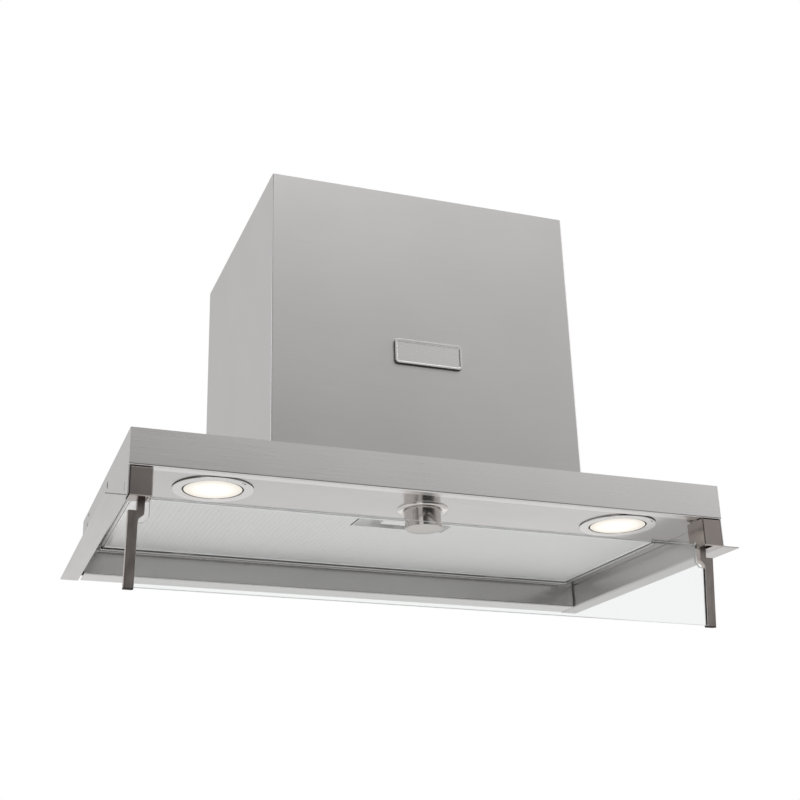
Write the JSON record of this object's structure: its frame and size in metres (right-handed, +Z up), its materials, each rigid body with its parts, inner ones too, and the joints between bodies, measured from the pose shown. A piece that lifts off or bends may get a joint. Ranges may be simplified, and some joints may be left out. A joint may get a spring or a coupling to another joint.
{
  "type": "range hood",
  "caption": "Cabinet-integrated range hood: shallow steel canopy, boxy motor housing, folding glass visor, rotary knob, round lamps, metal grease filter and top duct collar.",
  "frame": {"origin": "centre of the four fixing holes in the canopy deck, on the deck's top face", "axes": "+X to the user's right, +Y to the wall behind the hood, +Z up"},
  "size_m": [0.6, 0.318, 0.4554],
  "materials": {
    "brushed_sheet": "brushed",
    "badge_metal": "satin with a bright border",
    "cast_metal": "polished dark nickel",
    "screws": "zinc plated",
    "galvanised": "galvanised sheet",
    "black_plastic": "moulded",
    "motor_paint": "black lacquer",
    "white_plastic": "moulded",
    "polished_ring": "satin to polished",
    "knob_metal": "polished side, satin end",
    "lamp_glass": "frosted",
    "lamp_glow": "lit capsule",
    "visor_glass": "clear float glass with ground edges",
    "rubber": "matte",
    "filter_alu": "satin",
    "filter_mesh": "knitted mesh"
  },
  "bodies": {
    "root": {"canopy_deck": "brushed_sheet", "fascia_panel": "brushed_sheet", "control_panel": "brushed_sheet", "side_panel_left": "brushed_sheet", "side_panel_right": "brushed_sheet", "rear_panel": "brushed_sheet", "rear_rail": "brushed_sheet", "side_ledge_left": "brushed_sheet", "side_ledge_right": "brushed_sheet", "motor_housing_shell": "brushed_sheet", "motor_housing_back": "brushed_sheet", "motor_housing_top": "brushed_sheet", "badge_plate": "badge_metal", "housing_screws": "screws", "scroll_band": "galvanised", "scroll_cheek_left": "galvanised", "scroll_cheek_right": "galvanised", "motor_spider": "galvanised", "fan_motor": "motor_paint", "outlet_collar": "black_plastic", "collar_screws": "screws", "flap_pin": "screws", "terminal_box": "black_plastic", "cable_gland": "black_plastic", "run_capacitor": "white_plastic", "led_driver": "white_plastic", "lamp_bezel_left": "polished_ring", "lamp_bezel_right": "polished_ring", "lamp_glass_left": "lamp_glass", "lamp_glass_right": "lamp_glass", "lamp_can_left": "black_plastic", "lamp_can_right": "black_plastic", "lamp_bulb_left": "lamp_glow", "lamp_bulb_right": "lamp_glow", "knob_ring": "polished_ring", "speed_switch": "black_plastic", "switch_nut": "screws", "hinge_block_left": "cast_metal", "hinge_block_right": "cast_metal", "hinge_pin_left": "screws", "hinge_pin_right": "screws", "hinge_washers": "screws", "block_screws": "screws"},
    "visor": {"visor_glass": "visor_glass", "visor_arm_left": "cast_metal", "visor_arm_right": "cast_metal", "arm_end_caps": "rubber"},
    "knob": {"control_knob": "knob_metal", "knob_spindle": "screws"},
    "filter": {"filter_frame": "filter_alu", "filter_face": "filter_alu", "filter_mesh": "filter_mesh", "filter_back": "filter_alu", "filter_latch_cup": "filter_alu", "latch_spring": "screws"},
    "latch": {"filter_latch": "filter_alu"},
    "blower_wheel": {"impeller": "black_plastic", "motor_shaft": "screws"},
    "rear_flap": {"flap_rear": "black_plastic"},
    "front_flap": {"flap_front": "black_plastic"}
  },
  "joints": [
    {"name": "visor_fold", "type": "hinge", "parent": "root", "child": "visor", "pos_m": [0, -0.1324, -0.0543], "axis": [1, 0, 0], "range_deg": [0, 83.7]},
    {"name": "knob_turn", "type": "hinge", "parent": "root", "child": "knob", "pos_m": [0, -0.094, -0.042], "axis": [0, 0, 1], "range_deg": [0, 270]},
    {"name": "filter_drop", "type": "hinge", "parent": "root", "child": "filter", "pos_m": [0, 0.1242, -0.0312], "axis": [1, 0, 0], "range_deg": [0, 60]},
    {"name": "latch_slide", "type": "slide", "parent": "filter", "child": "latch", "axis": [0, 1, 0], "range_m": [0, 0.005], "stiffness_N_per_m": 300, "springref_m": -0.004},
    {"name": "wheel_spin", "type": "hinge", "parent": "root", "child": "blower_wheel", "pos_m": [0, -0.032, 0.11], "axis": [1, 0, 0], "continuous": true},
    {"name": "rear_flap_lift", "type": "hinge", "parent": "root", "child": "rear_flap", "pos_m": [0, 0.032, 0.291], "axis": [1, 0, 0], "range_deg": [0, 78]},
    {"name": "front_flap_lift", "type": "hinge", "parent": "root", "child": "front_flap", "pos_m": [0, 0.032, 0.291], "axis": [-1, 0, 0], "range_deg": [0, 78]}
  ]
}
